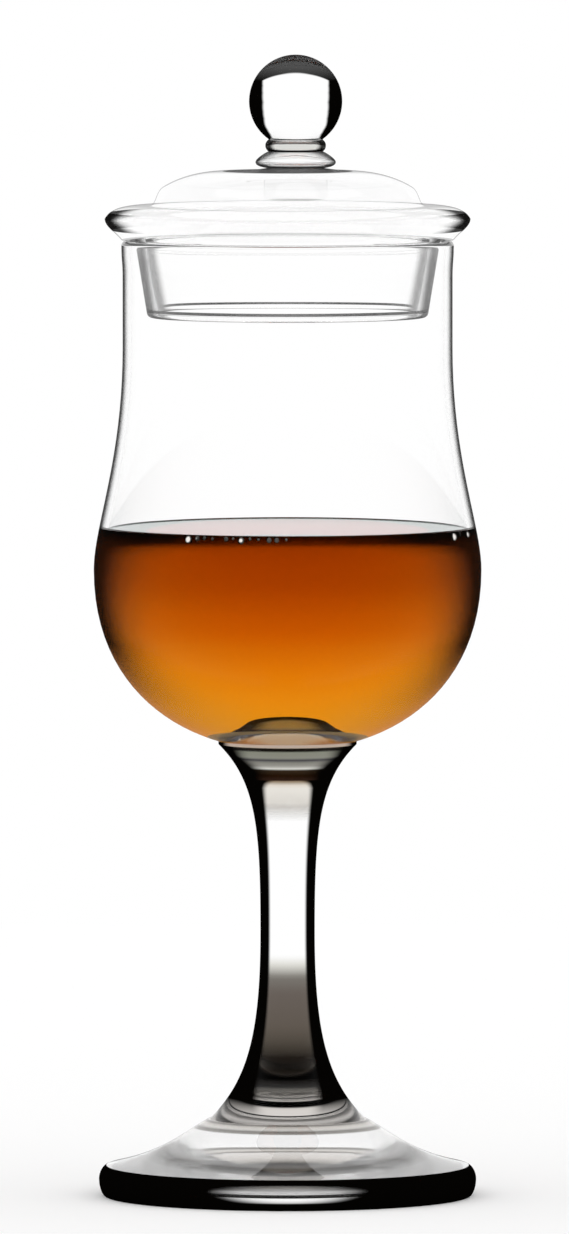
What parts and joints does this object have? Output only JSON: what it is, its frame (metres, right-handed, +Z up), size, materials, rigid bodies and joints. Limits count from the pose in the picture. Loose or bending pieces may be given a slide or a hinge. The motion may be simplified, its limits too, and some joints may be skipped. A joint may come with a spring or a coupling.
{
  "type": "whisky nosing glass",
  "caption": "Stemmed whisky nosing glass with a round bowl, a straight chimney and a lift-off glass lid with a ball knob, part filled with whisky.",
  "frame": {"origin": "on the table plane, under the centre of the foot", "axes": "+Z up along the glass's axis; the knob sits a little off centre towards +X; the pictured side faces -Y"},
  "size_m": [0.0628, 0.0628, 0.1851],
  "materials": {
    "bowl_glass": "clear fire-polished",
    "stem_glass": "clear drawn",
    "foot_glass": "clear spun",
    "lid_glass": "clear blown",
    "knob_glass": "clear solid",
    "whisky": "clear amber liquid"
  },
  "bodies": {
    "glass": {"bowl": "bowl_glass", "stem": "stem_glass", "foot": "foot_glass", "whisky": "whisky"},
    "lid": {"lid_cover": "lid_glass", "lid_collar": "lid_glass", "knob_disc": "knob_glass", "knob": "knob_glass"}
  },
  "joints": [
    {"name": "lid_lift", "type": "slide", "parent": "glass", "child": "lid", "axis": [0, 0, 1], "range_m": [0, 0.05]}
  ]
}
